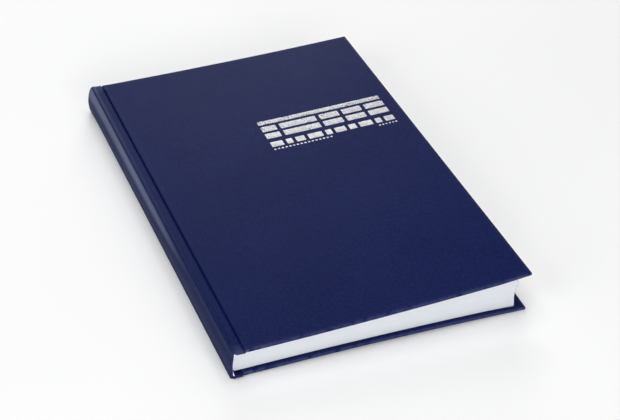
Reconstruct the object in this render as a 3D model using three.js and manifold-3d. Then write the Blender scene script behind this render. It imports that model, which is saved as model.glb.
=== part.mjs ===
// Ledger book: a sewn block of ruled leaves in a hard case covered with navy book cloth.
//
// The book lies on its back cover. X runs from the spine to the fore-edge, Y from the tail to the
// head and Z up. The origin is at the middle of the underside. All sizes are in millimetres.
// The front cover stands a few degrees open, because the leaves of a new book swell towards the
// fore-edge: they fan out from their folds and carry the cover.
//
// Profiles are drawn in the X-Z plane, where "u" is the distance from the outermost point of the
// spine, and are carried along Y. Everything on the front half mirrors the back half.

import * as THREE from "three";
import { mergeVertices } from "three/addons/utils/BufferGeometryUtils.js";
import Module from "manifold-3d";

// The block of leaves
const LEAF_HEIGHT = 290;
const LEAF_WIDTH = 191;
const SECTION_COUNT = 20; // an even number: the book is shown opening between the middle two
const SECTION_THICKNESS = 0.71; // six folded sheets, pressed, measured at the fold
const LEAF_AIR = 0.02; // between two neighbouring sections
const ENDPAPER_THICKNESS = 0.15;

// The case
const BOARD_THICKNESS = 1.75;
const CLOTH_THICKNESS = 0.35;
const GLUE_GAP = 0.1; // the film of glue between two layers of the case
const SQUARE = 3.2; // how far the boards stand out past the leaves at head and tail
const FORE_EDGE_SQUARE = 7.4; // the same at the fore-edge
const TURN_IN = 14; // cloth folded over the inside of a board
const PASTEDOWN_MARGIN = 2.6; // cloth left showing around a pastedown
const CORNER_RADIUS = 0.8; // of a covered board, seen from above
const EDGE_RADIUS = 0.6; // of the cloth where it folds round a board's edge
const COVER_SPLAY_DEG = 2.8; // how far the swollen leaves hold the front cover open

// The spine and its two grooves
const SPINE_SAGITTA = 2; // how round the spine is
const SPINE_END_INSET = 0.7; // from the outer face of a board to the end of the spine strip
const SPINE_CARD_THICKNESS = 0.8;
const LINING_THICKNESS = 0.3; // the gauze glued over the folds
const THREAD_THICKNESS = 0.3;
const HOLLOW = 0.15; // air between the spine card and the lining
const BACK_RIDGE_DROP = 0.1; // the back shoulder lies this far inside the board's outer face
const FRONT_RIDGE_DROP = -0.5; // the front shoulder stands proud of the board
const GROOVE_START = 3.3; // u where the groove cloth leaves the shoulder
const GROOVE_WIDTH = 6.15; // from there to the board's edge
const GROOVE_DEPTH = 1.3; // of the groove's floor below the board's outer face
const GROOVE_FLOOR_FROM = 0.5; // the flat floor of the groove, as shares of its width
const GROOVE_FLOOR_TO = 0.86;
const GROOVE_LIP = 0.2; // the cloth's last drop before it runs onto the board

// The sewing
const STITCH_STATIONS = 5;
const STITCH_WIDTH = 1.6;
const STITCH_END_MARGIN = 18; // from the head or tail to the first stitch
const LINING_END_MARGIN = 9;

// Clearances that the moving pieces need
const COVER_CLEARANCE = 0.3; // between the front cover and the first leaf
const HINGE_GAP = 0.65; // between the groove cloth and the covered board
const HINGE_RISE = 0.4; // the cover turns about a line this far outside its cloth

const ARC_STEPS = 24;
const FOLD_STEPS = 8;

const NAVY_CLOTH = { color: 0x232c55, roughness: 0.55, metalness: 0 };
const NAVY_GROOVE = { color: 0x1b2244, roughness: 0.6, metalness: 0 };
const GREY_BOARD = { color: 0x8b857a, roughness: 0.95, metalness: 0 };
const WHITE_PAPER = { color: 0xe9ebf2, roughness: 0.9, metalness: 0 };
const LEAF_PAPER = { color: 0xdfe3ee, roughness: 0.9, metalness: 0 };
const GAUZE = { color: 0xe6e0cf, roughness: 0.95, metalness: 0 };
const THREAD = { color: 0xf3efe4, roughness: 0.8, metalness: 0 };

// Sizes that follow from the ones above
const SKIN_THICKNESS = 2 * CLOTH_THICKNESS + 2 * GLUE_GAP + BOARD_THICKNESS;
const COVER_THICKNESS = SKIN_THICKNESS + GLUE_GAP + ENDPAPER_THICKNESS;
const BLOCK_THICKNESS = SECTION_COUNT * SECTION_THICKNESS + 2 * ENDPAPER_THICKNESS;
const BOARD_FROM = GROOVE_START + GROOVE_WIDTH + HINGE_GAP;
const HINGE_U = BOARD_FROM - HINGE_GAP / 2;
const SPLAY = THREE.MathUtils.degToRad(COVER_SPLAY_DEG);
const CLIMB = HINGE_U * Math.tan(SPLAY); // of the fanned leaves on their way to the hinge line
const BOOK_THICKNESS = 2 * COVER_THICKNESS + BLOCK_THICKNESS + COVER_CLEARANCE + CLIMB;
const HALF_HEIGHT = LEAF_HEIGHT / 2 + SQUARE;
const FOLD_AT =
  CLOTH_THICKNESS + GLUE_GAP + SPINE_CARD_THICKNESS + HOLLOW +
  LINING_THICKNESS + GLUE_GAP + THREAD_THICKNESS + GLUE_GAP;
const SPINE_HALF_CHORD = BOOK_THICKNESS / 2 - SPINE_END_INSET;
const SPINE_RADIUS = (SPINE_HALF_CHORD ** 2 + SPINE_SAGITTA ** 2) / (2 * SPINE_SAGITTA);
const BOOK_WIDTH = foldU(COVER_THICKNESS + ENDPAPER_THICKNESS) + LEAF_WIDTH + FORE_EDGE_SQUARE;
const HINGE_Z = BOOK_THICKNESS + HINGE_RISE;

const wasm = await Module();
wasm.setup();

const book = new THREE.Group();
// The cover's group turns about the hinge line, so its pieces are drawn around that line.
const frontCover = new THREE.Group();
frontCover.position.set(xOf(HINGE_U), 0, HINGE_Z);
frontCover.rotation.y = -SPLAY;
book.add(frontCover);

function xOf(u) {
  return u - BOOK_WIDTH / 2;
}

function addPiece(group, name, geometry, finish) {
  const piece = new THREE.Mesh(geometry, new THREE.MeshStandardMaterial(finish));
  piece.name = name;
  group.add(piece);
}

// A closed profile in the X-Z plane carried from one Y to another.
function barAlongY(profile, yLow, yHigh) {
  const shape = new THREE.Shape(profile.map(([x, z]) => new THREE.Vector2(x, z)));
  const bar = new THREE.ExtrudeGeometry(shape, { depth: yHigh - yLow, bevelEnabled: false });
  bar.rotateX(Math.PI / 2);
  bar.translate(0, yHigh, 0);
  return bar;
}

function plate(x0, x1, yHalf, z0, z1) {
  return barAlongY([[x0, z0], [x1, z0], [x1, z1], [x0, z1]], -yHalf, yHalf);
}

// The profile of a thin layer: a path, and the same path moved sideways by the thickness.
// The layer grows to the left of the path's direction, or to the right if the thickness is negative.
function layerProfile(path, thickness) {
  const offset = path.map(([x, z], i) => {
    const before = path[Math.max(i - 1, 0)];
    const after = path[Math.min(i + 1, path.length - 1)];
    const length = Math.hypot(after[0] - before[0], after[1] - before[1]);
    const nx = -(after[1] - before[1]) / length;
    const nz = (after[0] - before[0]) / length;
    return [x + nx * thickness, z + nz * thickness];
  });
  return [...path, ...offset.reverse()];
}

function steps(from, to, count) {
  return Array.from({ length: count + 1 }, (_, i) => from + ((to - from) * i) / count);
}

function smooth(t) {
  const c = THREE.MathUtils.clamp(t, 0, 1);
  return c * c * (3 - 2 * c);
}

function toSolid(geometry) {
  const bare = geometry.clone();
  bare.deleteAttribute("normal");
  bare.deleteAttribute("uv");
  const merged = mergeVertices(bare);
  return new wasm.Manifold(new wasm.Mesh({
    numProp: 3,
    vertProperties: new Float32Array(merged.attributes.position.array),
    triVerts: new Uint32Array(merged.index.array),
  }));
}

function toGeometry(solid) {
  const mesh = solid.getMesh();
  const geometry = new THREE.BufferGeometry();
  geometry.setAttribute("position", new THREE.BufferAttribute(mesh.vertProperties, 3));
  geometry.setIndex(new THREE.BufferAttribute(mesh.triVerts, 1));
  geometry.computeVertexNormals();
  return geometry;
}

// A plate seen from above as a rectangle with round corners, its edges rounded over.
function softPlate(x0, x1, yHalf, z0, z1, cornerRadius, edgeRadius) {
  const shape = new THREE.Shape();
  shape.moveTo(x0 + cornerRadius, -yHalf);
  shape.lineTo(x1 - cornerRadius, -yHalf);
  shape.absarc(x1 - cornerRadius, -yHalf + cornerRadius, cornerRadius, -Math.PI / 2, 0);
  shape.lineTo(x1, yHalf - cornerRadius);
  shape.absarc(x1 - cornerRadius, yHalf - cornerRadius, cornerRadius, 0, Math.PI / 2);
  shape.lineTo(x0 + cornerRadius, yHalf);
  shape.absarc(x0 + cornerRadius, yHalf - cornerRadius, cornerRadius, Math.PI / 2, Math.PI);
  shape.lineTo(x0, -yHalf + cornerRadius);
  shape.absarc(x0 + cornerRadius, -yHalf + cornerRadius, cornerRadius, Math.PI, 1.5 * Math.PI);
  const softened = new THREE.ExtrudeGeometry(shape, {
    depth: z1 - z0 - 2 * edgeRadius,
    bevelThickness: edgeRadius,
    bevelSize: edgeRadius,
    bevelOffset: -edgeRadius,
    bevelSegments: 3,
    curveSegments: 4,
  });
  softened.translate(0, 0, z0 + edgeRadius);
  return softened;
}

// One cover: a board, the cloth skin that wraps its three outer edges and turns in, and the
// pastedown over the turn-ins. "outer" is the level of the outside face and "inward" is +1 where
// the inside of the book lies above that face and -1 where it lies below. "shift" takes u to x.
function addCover(group, side, outer, inward, shift) {
  const level = (depth) => outer + inward * depth;
  const span = (a, b) => [Math.min(level(a), level(b)), Math.max(level(a), level(b))];
  const edge = CLOTH_THICKNESS + GLUE_GAP;
  const from = BOARD_FROM + shift;
  const to = BOOK_WIDTH + shift;
  const past = 5; // how far a cutting solid runs past what it cuts

  const boardSpan = span(edge, edge + BOARD_THICKNESS);
  addPiece(group, side + "_board",
    plate(from, to - edge, HALF_HEIGHT - edge, ...boardSpan), GREY_BOARD);

  const wrapped = toSolid(softPlate(from - past, to, HALF_HEIGHT,
    ...span(0, SKIN_THICKNESS), CORNER_RADIUS, EDGE_RADIUS));
  const spineSide = toSolid(plate(from - 2 * past, from, HALF_HEIGHT + past,
    ...span(-past, SKIN_THICKNESS + past)));
  const roomForBoard = toSolid(plate(from - past, to - CLOTH_THICKNESS,
    HALF_HEIGHT - CLOTH_THICKNESS, ...span(CLOTH_THICKNESS, SKIN_THICKNESS - CLOTH_THICKNESS)));
  const window = toSolid(plate(from - past, to - TURN_IN, HALF_HEIGHT - TURN_IN,
    ...span(SKIN_THICKNESS / 2, SKIN_THICKNESS + past)));
  const skin = wrapped.subtract(spineSide).subtract(roomForBoard).subtract(window);
  addPiece(group, side + "_cover_cloth", toGeometry(skin), NAVY_CLOTH);

  addPiece(group, side + "_pastedown",
    plate(from + GLUE_GAP, to - PASTEDOWN_MARGIN, HALF_HEIGHT - PASTEDOWN_MARGIN,
      ...span(SKIN_THICKNESS + GLUE_GAP, COVER_THICKNESS)), WHITE_PAPER);
}

// The cloth in a groove: from the shoulder beside the spine it dips to a flat floor, then climbs
// steeply beside the board's edge. Its drop below the board's outer face is the shoulder's drop,
// plus a smooth fall, less a smooth climb.
function grooveCloth(outer, inward, ridgeDrop) {
  const path = steps(0, 1, ARC_STEPS).map((share) => {
    const fall = (GROOVE_DEPTH - ridgeDrop) * smooth(share / GROOVE_FLOOR_FROM);
    const climb = (GROOVE_DEPTH - GROOVE_LIP) *
      smooth((share - GROOVE_FLOOR_TO) / (1 - GROOVE_FLOOR_TO));
    const drop = ridgeDrop + fall - climb;
    return [xOf(GROOVE_START + share * GROOVE_WIDTH), outer + inward * drop];
  });
  return barAlongY(layerProfile(path, inward * CLOTH_THICKNESS), -HALF_HEIGHT, HALF_HEIGHT);
}

// The spine's layers and the backs of the leaves are arcs about one line inside the book.
function spineLayer(depth, thickness, halfHeight) {
  const reach = Math.asin(SPINE_HALF_CHORD / SPINE_RADIUS);
  const arc = (r) => steps(-reach, reach, ARC_STEPS).map((a) =>
    [xOf(SPINE_RADIUS - r * Math.cos(a)), BOOK_THICKNESS / 2 + r * Math.sin(a)]);
  const inner = arc(SPINE_RADIUS - depth - thickness).reverse();
  return barAlongY([...arc(SPINE_RADIUS - depth), ...inner], -halfHeight, halfHeight);
}

// Where the fold of a leaf at height z lies, on the arc that the block was rounded to.
function foldU(z) {
  return SPINE_RADIUS - Math.sqrt((SPINE_RADIUS - FOLD_AT) ** 2 - (z - BOOK_THICKNESS / 2) ** 2);
}

// The leaves fan out: the line between two sections leaves the folds at its own height and climbs
// at its own angle, none at the bottom of the block and the cover's splay at the top.
function leafLine(index, x) {
  const slope = Math.tan((SPLAY * index) / SECTION_COUNT);
  return foldLevel(index) + (x - xOf(FOLD_AT)) * slope;
}

function foldLevel(index) {
  return COVER_THICKNESS + ENDPAPER_THICKNESS + index * SECTION_THICKNESS;
}

function foldX(index) {
  return xOf(foldU(foldLevel(index + 0.5)));
}

function foreEdgeX(index, line) {
  return foldX(index) + LEAF_WIDTH * Math.cos((SPLAY * line) / SECTION_COUNT);
}

// A section: a wedge of leaves with a round fold at the spine.
function section(index) {
  const start = foldX(index) + SECTION_THICKNESS / 2;
  const low = leafLine(index, start);
  const high = leafLine(index + 1, start) - LEAF_AIR;
  const radius = (high - low) / 2;
  const round = steps(Math.PI / 2, 1.5 * Math.PI, FOLD_STEPS).map((a) =>
    [start + radius * Math.cos(a), (low + high) / 2 + radius * Math.sin(a)]);
  round[0] = [start, high];
  round[FOLD_STEPS] = [start, low];
  const lowEdge = foreEdgeX(index, index);
  const highEdge = foreEdgeX(index, index + 1);
  return barAlongY([...round, [lowEdge, leafLine(index, lowEdge)],
    [highEdge, leafLine(index + 1, highEdge) - LEAF_AIR]], -LEAF_HEIGHT / 2, LEAF_HEIGHT / 2);
}

// A layer that lies on the backs of the folds between two heights.
function backLayer(z0, z1, depth, thickness, yLow, yHigh) {
  const path = steps(z0, z1, ARC_STEPS).map((z) => [xOf(foldU(z) - depth), z]);
  return barAlongY(layerProfile(path, thickness), yLow, yHigh);
}

// The runs of thread that tie the sections of one half together, one at each station.
function addStitches(half, z0, z1) {
  const first = -LEAF_HEIGHT / 2 + STITCH_END_MARGIN;
  const last = LEAF_HEIGHT / 2 - STITCH_END_MARGIN;
  steps(first, last, STITCH_STATIONS - 1).forEach((y, i) => {
    addPiece(book, half + "_stitch_" + (i + 1),
      backLayer(z0, z1, GLUE_GAP, THREAD_THICKNESS, y - STITCH_WIDTH / 2, y + STITCH_WIDTH / 2),
      THREAD);
  });
}

// The endpaper's free half lies on a line of the fan, as wide as the leaves beside it.
function flyleaf(line, neighbour, lift) {
  const start = foldX(neighbour) + SECTION_THICKNESS / 2;
  const end = foreEdgeX(neighbour, line);
  const startZ = leafLine(line, start) + lift;
  const endZ = leafLine(line, end) + lift;
  return barAlongY([[start, startZ], [end, endZ], [end, endZ + ENDPAPER_THICKNESS],
    [start, startZ + ENDPAPER_THICKNESS]], -LEAF_HEIGHT / 2, LEAF_HEIGHT / 2);
}

addCover(book, "back", 0, 1, -BOOK_WIDTH / 2);
addCover(frontCover, "front", -HINGE_RISE, -1, -HINGE_U);
addPiece(book, "back_joint_cloth", grooveCloth(0, 1, BACK_RIDGE_DROP), NAVY_GROOVE);
addPiece(book, "front_joint_cloth", grooveCloth(BOOK_THICKNESS, -1, FRONT_RIDGE_DROP), NAVY_GROOVE);
addPiece(book, "spine_cloth", spineLayer(0, CLOTH_THICKNESS, HALF_HEIGHT), NAVY_CLOTH);
addPiece(book, "spine_card",
  spineLayer(CLOTH_THICKNESS + GLUE_GAP, SPINE_CARD_THICKNESS, HALF_HEIGHT - CLOTH_THICKNESS),
  GREY_BOARD);

addPiece(book, "back_flyleaf", flyleaf(0, 0, -ENDPAPER_THICKNESS), WHITE_PAPER);
addPiece(book, "front_flyleaf", flyleaf(SECTION_COUNT, SECTION_COUNT - 1, 0), WHITE_PAPER);
for (let i = 0; i < SECTION_COUNT; i += 1) {
  const number = String(SECTION_COUNT - i).padStart(2, "0"); // section 01 lies under the front cover
  addPiece(book, "section_" + number, section(i), LEAF_PAPER);
}

// The book opens between its middle sections, so each half has its own runs of thread.
const lowestFold = foldLevel(0.5);
const highestFold = foldLevel(SECTION_COUNT - 0.5);
addStitches("lower", lowestFold, foldLevel(SECTION_COUNT / 2 - 0.5));
addStitches("upper", foldLevel(SECTION_COUNT / 2 + 0.5), highestFold);
addPiece(book, "spine_lining",
  backLayer(lowestFold, highestFold, 2 * GLUE_GAP + THREAD_THICKNESS, LINING_THICKNESS,
    -LEAF_HEIGHT / 2 + LINING_END_MARGIN, LEAF_HEIGHT / 2 - LINING_END_MARGIN), GAUZE);

export default book;
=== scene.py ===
# %% [markdown]
# # A case-bound ledger book
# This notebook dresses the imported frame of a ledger: a block of sewn sections inside a hard case
# covered with navy leatherette. Every surface is worked out with numpy as a function of two
# parameters and handed to Blender as a mesh. The frame is loaded first, because it holds the true
# place of every part and the hinge lines that each new piece has to follow.
# %% Load the frame
import math

import bpy
import numpy as np
from mathutils import Matrix, Vector


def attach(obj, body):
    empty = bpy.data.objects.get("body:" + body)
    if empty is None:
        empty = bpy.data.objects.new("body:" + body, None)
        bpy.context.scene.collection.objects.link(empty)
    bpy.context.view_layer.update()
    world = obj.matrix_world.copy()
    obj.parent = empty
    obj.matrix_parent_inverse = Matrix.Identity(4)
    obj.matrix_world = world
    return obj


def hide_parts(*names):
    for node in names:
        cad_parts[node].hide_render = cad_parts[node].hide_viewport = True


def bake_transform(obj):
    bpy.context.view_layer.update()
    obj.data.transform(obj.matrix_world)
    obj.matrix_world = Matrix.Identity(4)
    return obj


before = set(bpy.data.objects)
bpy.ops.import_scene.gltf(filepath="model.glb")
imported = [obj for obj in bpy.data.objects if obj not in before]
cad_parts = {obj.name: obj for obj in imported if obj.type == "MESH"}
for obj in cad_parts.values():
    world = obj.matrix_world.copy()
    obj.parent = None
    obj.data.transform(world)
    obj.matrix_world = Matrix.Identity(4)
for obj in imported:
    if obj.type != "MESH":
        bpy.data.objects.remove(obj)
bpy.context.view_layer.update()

# %% [markdown]
# ## The sizes the frame already fixed
# A binder measures a book from the spine: u is the distance from the outermost line of the spine
# towards the fore-edge, y runs from tail to head, and z is the height above the table. All these
# numbers are in millimetres and repeat the frame's own, so that new pieces fall into place. One
# thing is added: glue and pressing leave real boards slightly bowed, the front one hollow by 1.1 mm
# and the back one arched by 1.4 mm, and the boards were laid down slightly askew, so the groove
# is nearer the spine at the tail. The photograph shows all three.
# %% Sizes in millimetres
MM = 0.001
BOOK_WIDTH = 201.8533
BOOK_THICKNESS = 21.0781
HALF_HEIGHT = 148.2
LEAF_HALF_HEIGHT = 145.0
LEAF_WIDTH = 191.0
SKIN = 2.65
CLOTH = 0.33
BOARD_FROM = 10.1
HINGE_U = 9.775
HINGE_Z = 21.4781
HINGE_RISE = 0.4
SPLAY = math.radians(2.8)
SECTIONS = 20
SECTION = 0.71
LEAVES_IN_SECTION = 12
FOLD_AT = 2.2
BLOCK_BOTTOM = 3.05
ENDPAPER = 0.15
SPINE_INSET = 0.7
SAGITTA = 2.0
HALF_CHORD = BOOK_THICKNESS / 2 - SPINE_INSET
SPINE_RADIUS = (HALF_CHORD ** 2 + SAGITTA ** 2) / (2 * SAGITTA)
BOARD_MIDDLE = (BOARD_FROM + BOOK_WIDTH) / 2
HALF_BOARD = (BOOK_WIDTH - BOARD_FROM) / 2
FRONT_SAG = 1.08
BACK_ARCH = 1.35
SHIFT_MIDDLE = -0.95
SHIFT_SKEW = 0.65
SHIFT_FADES_OVER = 30.0


def bow(u):
    """0 at a board's two long edges and 1 in its middle: 4 s (1 - s) of the share s of its width."""
    share = np.clip((u - BOARD_FROM) / (BOOK_WIDTH - BOARD_FROM), 0.0, 1.0)
    return 4.0 * share * (1.0 - share)


def askew(y):
    """How far the groove side lies towards the fore-edge at y. It is negative, so nearer the spine:
    by 0.3 mm at the head and 1.6 mm at the tail."""
    return SHIFT_MIDDLE + SHIFT_SKEW * y / HALF_HEIGHT


def board_shift(u, y):
    """The skew of a covered board: whole at its groove side and fading out from there."""
    return askew(y) * (1.0 - np.clip((u - BOARD_FROM) / SHIFT_FADES_OVER, 0.0, 1.0))


print("spine radius", round(SPINE_RADIUS, 3), "bow in the middle of a board", bow(BOARD_MIDDLE))

# %% [markdown]
# ## Camera
# The photograph looks down on the cover from beyond the tail, a little from the spine side. The
# place, turn and lens below come from matching the edges of the book with the picture, so the
# camera needs no shift. Depth of field stays off.
# %% The camera
AZIMUTH, ELEVATION, ROLL = (math.radians(a) for a in (-25.6411, 37.4437, 4.9832))
CAMERA_PLACE = (-0.359935, -0.777220, 0.652004)
CAMERA_LENS = 90.9788


def camera_axes(azimuth, elevation, roll):
    """Right, up and back of a camera: back points from the book to the camera, right is level and
    square to it, and then right and up are turned about back by the roll."""
    back = np.array([math.sin(azimuth) * math.cos(elevation),
                     -math.cos(azimuth) * math.cos(elevation),
                     math.sin(elevation)])
    level = np.cross([0.0, 0.0, 1.0], back)
    level /= np.linalg.norm(level)
    rise = np.cross(back, level)
    right = math.cos(roll) * level + math.sin(roll) * rise
    up = math.cos(roll) * rise - math.sin(roll) * level
    return right, up, back


def placed_object(name, data, axes, place):
    """A new object that carries data, with the given x, y and z axes and place."""
    made = bpy.data.objects.new(name, data)
    bpy.context.scene.collection.objects.link(made)
    right, up, back = (Vector(axis) for axis in axes)
    made.matrix_world = Matrix((right, up, back)).transposed().to_4x4()
    made.location = place
    return made


lens = bpy.data.cameras.new("photo_camera")
lens.lens = CAMERA_LENS
lens.sensor_width = 36.0
lens.clip_start = 0.05
lens.clip_end = 20.0
camera = placed_object("photo_camera", lens, camera_axes(AZIMUTH, ELEVATION, ROLL), CAMERA_PLACE)
bpy.context.scene.camera = camera
print("camera at", [round(v, 4) for v in camera.location])

# %% [markdown]
# ## Light and table
# The book was shot on a pale table in a soft, nearly shadowless light. The lamps' powers were solved so
# that the sum of their light has the photograph's tones. A low wall of light behind brightens the head
# end of the cover, panels in front and above keep the edges of the leaves white, and a faint glow of the
# table itself fills the last shadows.
# %% The table, the sky and the lamps
SKY_STRENGTH = 0.139
TABLE_REACH = 6.0
TABLE_TOP = -0.00006


def aimed(place, target):
    """Axes of a lamp at place that shines on target: its back points away from the target."""
    back = np.array(place) - np.array(target)
    back /= np.linalg.norm(back)
    right = np.cross([0.0, 1.0, 0.0], back)
    right /= np.linalg.norm(right)
    return right, np.cross(back, right), back


def soft_panel(name, place, target, size, power):
    """A white rectangular area lamp of size (width, height) in metres, with its power in watts."""
    lamp = bpy.data.lights.new(name, "AREA")
    lamp.shape = "RECTANGLE"
    lamp.size, lamp.size_y = size
    lamp.energy = power
    return placed_object(name, lamp, aimed(place, target), place)


soft_panel("top_panel", (-0.1, 0.25, 1.5), (0.0, 0.05, 0.0), (1.2, 1.2), 11.1)
soft_panel("front_panel", (-0.2, -1.5, 0.5), (0.0, -0.1, 0.0), (1.6, 0.6), 17.0)
soft_panel("back_wall", (0.7, 1.7, 0.5), (0.0, 0.1, 0.0), (2.0, 0.6), 25.0)
soft_panel("left_panel", (-1.4, -0.5, 0.8), (0.0, 0.0, 0.0), (0.9, 0.7), 6.9)

sky = bpy.data.worlds.new("studio_sky")
sky.use_nodes = True
sky_light = sky.node_tree.nodes["Background"].inputs
sky_light["Color"].default_value = (0.97, 0.98, 1.0, 1.0)
sky_light["Strength"].default_value = SKY_STRENGTH
bpy.context.scene.world = sky
bpy.context.scene.view_settings.view_transform = "Standard"

table_mesh = bpy.data.meshes.new("table_top")
table_corners = [(x * TABLE_REACH, y * TABLE_REACH, TABLE_TOP)
                 for x, y in ((-1, -1), (1, -1), (1, 1), (-1, 1))]
table_mesh.from_pydata(table_corners, [], [(0, 1, 2, 3)])
table_top = bpy.data.objects.new("table_top", table_mesh)
bpy.context.scene.collection.objects.link(table_top)
print("lamps and table are in place")

# %% [markdown]
# ## Building a finish
# A finish is a small tree of shader nodes. The class below keeps the trees short: each method adds
# a node and returns its output, and a value may be a number, a colour or another node's output. The
# patterns read the place each point had at rest, kept on the mesh as an attribute, so a cloth that
# bends across a hinge carries its grain along.
# %% The finish class
class Finish:
    """A material and its shader tree, which the methods build up node by node."""

    def __init__(self, name, place_from_attribute=True):
        self.material = bpy.data.materials.new(name)
        self.material.use_nodes = True
        self.tree = self.material.node_tree
        self.shader = self.tree.nodes["Principled BSDF"]
        if place_from_attribute:
            self.place = self.add("ShaderNodeAttribute", attribute_name="rest").outputs["Vector"]
        else:
            self.place = self.add("ShaderNodeTexCoord").outputs["Object"]

    def put(self, node, key, value):
        """Links an output to a node's input, or sets a number or colour on the input itself."""
        if isinstance(value, bpy.types.NodeSocket):
            self.tree.links.new(value, node.inputs[key])
        else:
            node.inputs[key].default_value = value

    def add(self, kind, inputs=None, **settings):
        """A new node with its settings and inputs."""
        made = self.tree.nodes.new(kind)
        for key, value in settings.items():
            setattr(made, key, value)
        for key, value in (inputs or {}).items():
            self.put(made, key, value)
        return made

    def attribute(self, name):
        """The value kept on the mesh under that name."""
        return self.add("ShaderNodeAttribute", attribute_name=name).outputs["Fac"]

    def axes(self):
        """The outputs X, Y and Z of the place."""
        return self.add("ShaderNodeSeparateXYZ", {"Vector": self.place}).outputs

    def noise(self, scale, detail=3.0, roughness=0.55, place=None):
        """Cloudy noise with about scale clouds to the metre."""
        inputs = {"Vector": self.place if place is None else place, "Scale": scale,
                  "Detail": detail, "Roughness": roughness}
        return self.add("ShaderNodeTexNoise", inputs).outputs["Fac"]

    def cells(self, scale, feature):
        """Distance from the middle or the edge of irregular cells, about scale to the metre."""
        inputs = {"Vector": self.place, "Scale": scale, "Randomness": 1.0}
        return self.add("ShaderNodeTexVoronoi", inputs, feature=feature).outputs["Distance"]

    def between(self, value, low, high, to_low=0.0, to_high=1.0):
        """Value carried smoothly from the span low..high to to_low..to_high, held at both ends."""
        inputs = {"Value": value, "From Min": low, "From Max": high, "To Min": to_low, "To Max": to_high}
        return self.add("ShaderNodeMapRange", inputs, interpolation_type="SMOOTHSTEP").outputs["Result"]

    def levels(self, value, to_low=0.0, to_high=1.0):
        """Noise keeps mostly between 0.3 and 0.7; this carries that span to to_low..to_high."""
        return self.between(value, 0.3, 0.7, to_low, to_high)

    def sums(self, kind, a, b=0.0):
        """One step of arithmetic on a and b."""
        return self.add("ShaderNodeMath", {0: a, 1: b}, operation=kind).outputs["Value"]

    def plus(self, a, b):
        return self.sums("ADD", a, b)

    def minus(self, a, b):
        return self.sums("SUBTRACT", a, b)

    def times(self, a, b):
        return self.sums("MULTIPLY", a, b)

    def off_middle(self, value):
        """How far the fraction of value lies from a half: 0.5 at each whole number."""
        return self.sums("ABSOLUTE", self.minus(self.sums("FRACT", value), 0.5))

    def blended(self, share, first, second):
        """A colour that goes from first to second as share goes from 0 to 1."""
        ends = [c if isinstance(c, bpy.types.NodeSocket) else (*c, 1.0) for c in (first, second)]
        return self.add("ShaderNodeMix", {0: share, 6: ends[0], 7: ends[1]}, data_type="RGBA").outputs[2]

    def bumped(self, height, distance, strength):
        """Gives the shader a bump of that height in metres from a 0..1 value."""
        bump = self.add("ShaderNodeBump", {"Height": height, "Distance": distance, "Strength": strength})
        self.put(self.shader, "Normal", bump.outputs["Normal"])

    def surface(self, colour, roughness, **more):
        """Gives the shader its colour, roughness and other inputs, and returns the material."""
        self.put(self.shader, "Base Color", colour)
        self.put(self.shader, "Roughness", roughness)
        for key, value in more.items():
            self.put(self.shader, key.replace("_", " "), value)
        return self.material


print("a finish can be built from", len([m for m in dir(Finish) if m[0] != "_"]), "steps")

# %% [markdown]
# ## Finish: navy leatherette
# The case is covered with a paper-backed leatherette, a coated cloth embossed with a fine pebble
# grain. It could be painted as one blue, but real covering shows three things: pebbles about a
# millimetre wide, a coat whose shine varies a little, and paler, rubbed edges where it folds round
# the boards. Cells give the pebbles, noise the shine, and an edge value on the mesh the rubbing.
# Along the crest of the spine's upper shoulder a band of painted highlight is laid into the colour.
# %% Navy leatherette
PEBBLES_PER_METRE = 1050.0
CREASES_PER_METRE = 430.0
SPECKS_PER_METRE = 560.0
GRAIN_DEPTH = 0.00006
DULL_COAT = 0.024


def leatherette(name, deep, pale, rubbed, painted_highlight):
    """Pebble grain from two layers of cells, clouded colour between deep and pale, rubbed edges, and a
    painted highlight: a lighter tone laid into the colour as far as a value on the mesh asks for it."""
    look = Finish(name)
    pebbles = look.cells(PEBBLES_PER_METRE, "F1")
    creases = look.between(look.cells(CREASES_PER_METRE, "DISTANCE_TO_EDGE"), 0.0, 0.12)
    fibre = look.noise(2600.0, 2.0)
    cloud = look.noise(16.0, 4.0)
    speck = look.between(look.noise(SPECKS_PER_METRE, 2.0, 0.7), 0.38, 0.62)
    share = look.plus(look.times(look.levels(cloud), 0.35), look.times(speck, 0.65))
    rub = look.times(look.attribute("edge"), look.between(look.noise(260.0, 4.0), 0.30, 0.56))
    # Painted highlight: the spine's upper shoulder is made lighter in the colour itself.
    wear_and_highlight = look.times(look.attribute("painted_highlight"), look.levels(cloud, 0.8, 1.0))
    colour = look.blended(wear_and_highlight, look.blended(share, deep, pale), painted_highlight)
    colour = look.blended(look.times(rub, 0.7), colour, rubbed)
    shine = look.plus(look.levels(look.noise(70.0), 0.42, 0.455), look.times(rub, 0.1))
    height = look.plus(look.times(pebbles, -0.5),
                       look.plus(look.times(creases, 0.35), look.times(fibre, 0.2)))
    look.bumped(height, GRAIN_DEPTH, 0.8)
    return look.surface(colour, shine, Specular_IOR_Level=DULL_COAT)


# The last colour is the painted highlight of the spine's upper shoulder.
cover_cloth = leatherette("navy_leatherette", deep=(0.0038, 0.0088, 0.0600),
                          pale=(0.0070, 0.0141, 0.0835), rubbed=(0.085, 0.095, 0.195),
                          painted_highlight=(0.125, 0.145, 0.235))
print("finish", cover_cloth.name)

# %% [markdown]
# ## Finish: papers
# Three papers show. The endpapers are smooth, bright sheets. The leaves carry a pale square ruling
# for columns of figures. The cut edges of the leaves are the most visible of all: each leaf is less
# than a tenth of a millimetre, so the eye reads them as fine, uneven lines, a little darker between
# two sections. A number that counts leaves up through the block is kept on the mesh to draw them.
# %% Endpaper, ruled leaf and cut edges
RULED_SQUARE = 0.005
RULE_WIDTH = 0.00022
MARGIN_LINE_AT = 0.0795


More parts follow.
